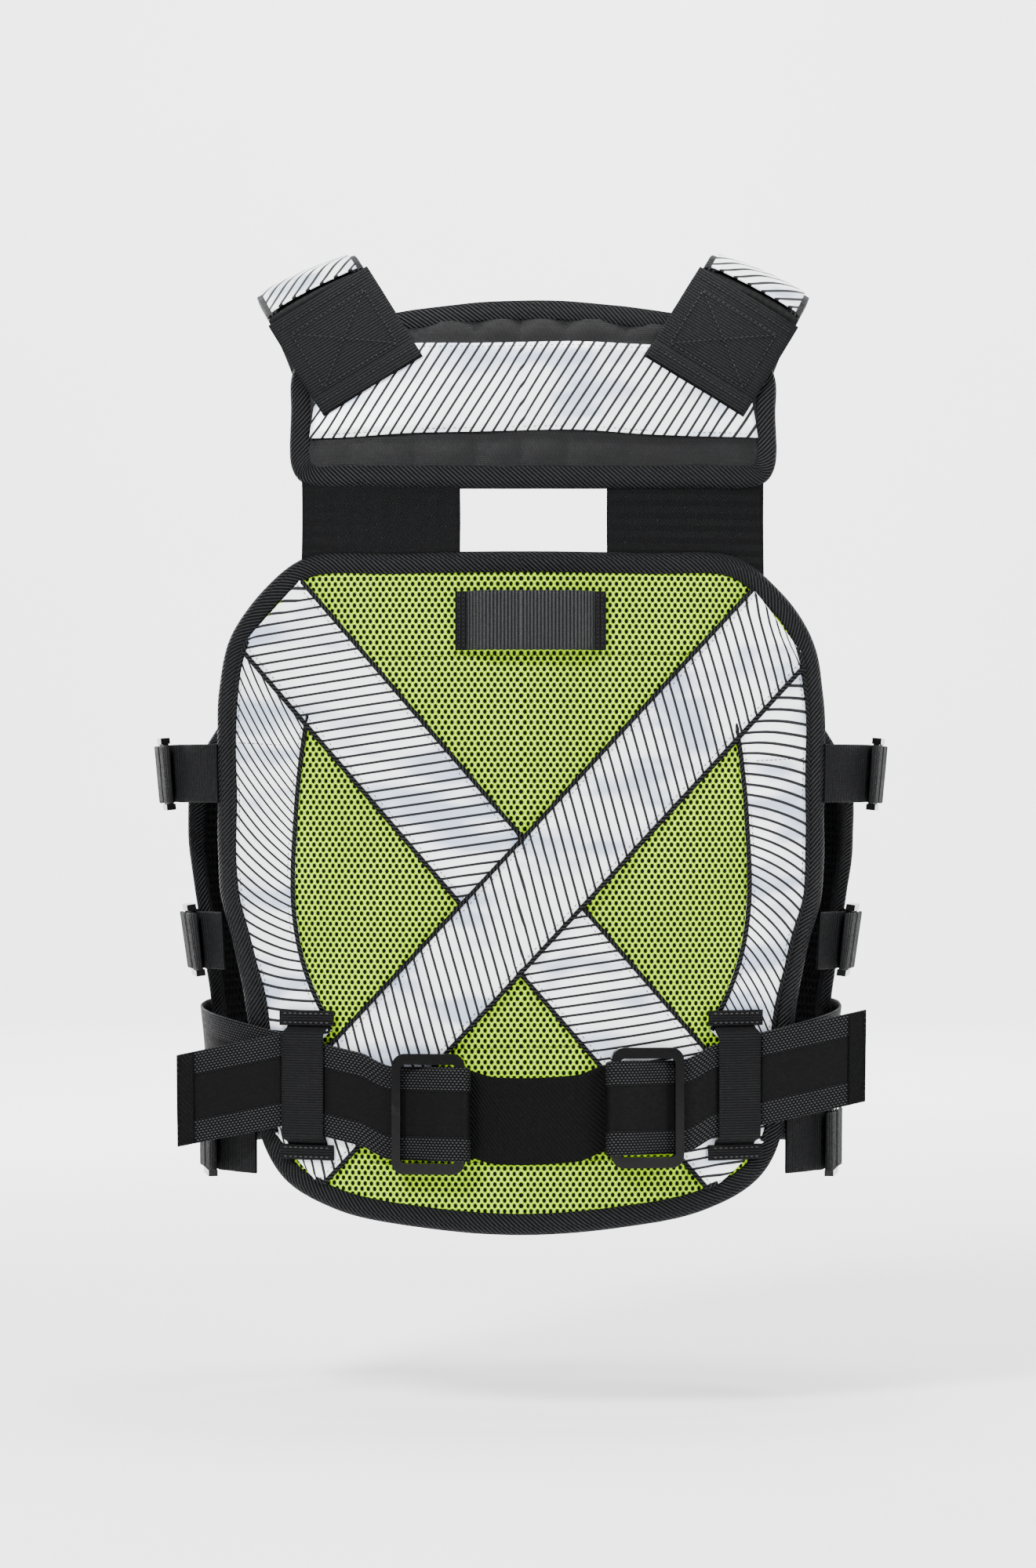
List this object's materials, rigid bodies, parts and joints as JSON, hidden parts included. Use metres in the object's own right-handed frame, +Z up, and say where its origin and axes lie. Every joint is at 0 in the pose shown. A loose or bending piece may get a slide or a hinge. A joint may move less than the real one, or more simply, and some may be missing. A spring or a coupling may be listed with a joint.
{
  "type": "safety harness vest",
  "caption": "Hi-vis harness vest: mesh back, padded yoke and shoulders, crossed reflective tapes, grab handle, webbing belt with slides and side adjusters.",
  "frame": {"origin": "Midway between the shoulder pads at the top of the shoulders, where the vest rests on a wearer.", "axes": "+Z is up, +X is the wearer's right, and the back of the vest faces -Y, its front +Y."},
  "size_m": [0.4862, 0.286, 0.639],
  "materials": {
    "mesh": "lime holed mesh",
    "fabric": "black padded knit",
    "webbing": "black ribbed webbing",
    "elastic": "black herringbone elastic",
    "tape": "silver reflective tape",
    "buckle": "black moulded nylon"
  },
  "bodies": {
    "yoke": {"yoke_panel": "fabric", "yoke_binding": "webbing", "yoke_tape": "tape", "shoulder_webbing_left": "webbing", "shoulder_webbing_right": "webbing", "shoulder_pad_left": "fabric", "shoulder_pad_right": "fabric", "shoulder_tape_left": "tape", "shoulder_tape_right": "tape", "shoulder_strap_left": "webbing", "shoulder_strap_right": "webbing"},
    "vest": {"back_binding": "webbing", "back_lining": "fabric", "back_panel": "mesh", "belt_buckle_female": "buckle", "belt_centre_band": "webbing", "belt_keeper_left": "webbing", "belt_keeper_right": "webbing", "belt_left": "webbing", "belt_right": "webbing", "chest_buckle_female": "buckle", "chest_strap_left": "webbing", "chest_strap_right": "webbing", "elastic_left": "elastic", "elastic_right": "elastic", "front_panel_left": "mesh", "front_panel_right": "mesh", "front_tape_left": "tape", "front_tape_right": "tape", "grab_handle": "webbing", "rear_tab_lower_left": "webbing", "rear_tab_lower_right": "webbing", "rear_tab_middle_left": "webbing", "rear_tab_middle_right": "webbing", "rear_tab_upper_left": "webbing", "rear_tab_upper_right": "webbing", "shoulder_lock_left": "buckle", "shoulder_lock_right": "buckle", "side_strap_lower_left": "webbing", "side_strap_lower_right": "webbing", "side_strap_middle_left": "webbing", "side_strap_middle_right": "webbing", "side_strap_upper_left": "webbing", "side_strap_upper_right": "webbing", "side_tape_left": "tape", "side_tape_right": "tape", "tape_falling": "tape", "tape_rising": "tape"},
    "side_lock_upper_left": {"side_lock_upper_left": "buckle"},
    "side_lock_upper_right": {"side_lock_upper_right": "buckle"},
    "side_lock_middle_left": {"side_lock_middle_left": "buckle"},
    "side_lock_middle_right": {"side_lock_middle_right": "buckle"},
    "side_lock_lower_left": {"side_lock_lower_left": "buckle"},
    "side_lock_lower_right": {"side_lock_lower_right": "buckle"},
    "belt_slide_left": {"belt_slide_left": "buckle"},
    "belt_tail_left": {"belt_tail_left": "webbing"},
    "belt_slide_right": {"belt_slide_right": "buckle"},
    "belt_tail_right": {"belt_tail_right": "webbing"},
    "chest_buckle_male": {"chest_buckle_male": "buckle"},
    "belt_buckle_male": {"belt_buckle_male": "buckle"}
  },
  "joints": [
    {"name": "torso_length", "type": "slide", "parent": "yoke", "child": "vest", "axis": [0, 0, -1], "range_m": [0, 0.015], "stiffness_N_per_m": 1500, "springref_m": -0.03, "deforming": ["elastic_left", "elastic_right"]},
    {"name": "side_lock_upper_left_lift", "type": "hinge", "parent": "vest", "child": "side_lock_upper_left", "pos_m": [-0.23196, -0.04131, -0.32346], "axis": [-0.0907, -0.0133, 0.9958], "range_deg": [0, 25], "deforming": ["side_strap_upper_left"]},
    {"name": "side_lock_upper_right_lift", "type": "hinge", "parent": "vest", "child": "side_lock_upper_right", "pos_m": [0.23196, -0.04131, -0.32346], "axis": [-0.0907, 0.0133, -0.9958], "range_deg": [0, 25], "deforming": ["side_strap_upper_right"]},
    {"name": "side_lock_middle_left_lift", "type": "hinge", "parent": "vest", "child": "side_lock_middle_left", "pos_m": [-0.2137, -0.04131, -0.4327], "axis": [-0.1383, -0.0217, 0.9902], "range_deg": [0, 25], "deforming": ["side_strap_middle_left"]},
    {"name": "side_lock_middle_right_lift", "type": "hinge", "parent": "vest", "child": "side_lock_middle_right", "pos_m": [0.2137, -0.04131, -0.4327], "axis": [-0.1383, 0.0217, -0.9902], "range_deg": [0, 25], "deforming": ["side_strap_middle_right"]},
    {"name": "side_lock_lower_left_lift", "type": "hinge", "parent": "vest", "child": "side_lock_lower_left", "pos_m": [-0.20274, -0.04133, -0.56404], "axis": [-0.0075, -0.0012, 1], "range_deg": [0, 25], "deforming": ["side_strap_lower_left"]},
    {"name": "side_lock_lower_right_lift", "type": "hinge", "parent": "vest", "child": "side_lock_lower_right", "pos_m": [0.20274, -0.04133, -0.56404], "axis": [-0.0075, 0.0012, -1], "range_deg": [0, 25], "deforming": ["side_strap_lower_right"]},
    {"name": "belt_slide_left_lift", "type": "hinge", "parent": "vest", "child": "belt_slide_left", "pos_m": [-0.03846, -0.13363, -0.54074], "axis": [0.0011, 0.012, 0.9999], "range_deg": [0, 20], "deforming": ["belt_left"]},
    {"name": "belt_tail_left_bend", "type": "hinge", "parent": "vest", "child": "belt_tail_left", "pos_m": [-0.15365, -0.10145, -0.52057], "axis": [-0.0098, -0.0175, 0.9998], "range_deg": [0, 40]},
    {"name": "belt_slide_right_lift", "type": "hinge", "parent": "vest", "child": "belt_slide_right", "pos_m": [0.06014, -0.13214, -0.53689], "axis": [0.0012, -0.0078, -1], "range_deg": [0, 20], "deforming": ["belt_right"]},
    {"name": "belt_tail_right_bend", "type": "hinge", "parent": "vest", "child": "belt_tail_right", "pos_m": [0.15365, -0.10145, -0.52057], "axis": [-0.0098, 0.0175, -0.9998], "range_deg": [0, 40]},
    {"name": "chest_buckle_release", "type": "slide", "parent": "vest", "child": "chest_buckle_male", "axis": [-1, 0, 0], "range_m": [0, 0.024], "deforming": ["chest_strap_left"]},
    {"name": "belt_buckle_release", "type": "slide", "parent": "vest", "child": "belt_buckle_male", "axis": [-1, 0, 0], "range_m": [0, 0.034], "deforming": ["belt_left"]}
  ]
}
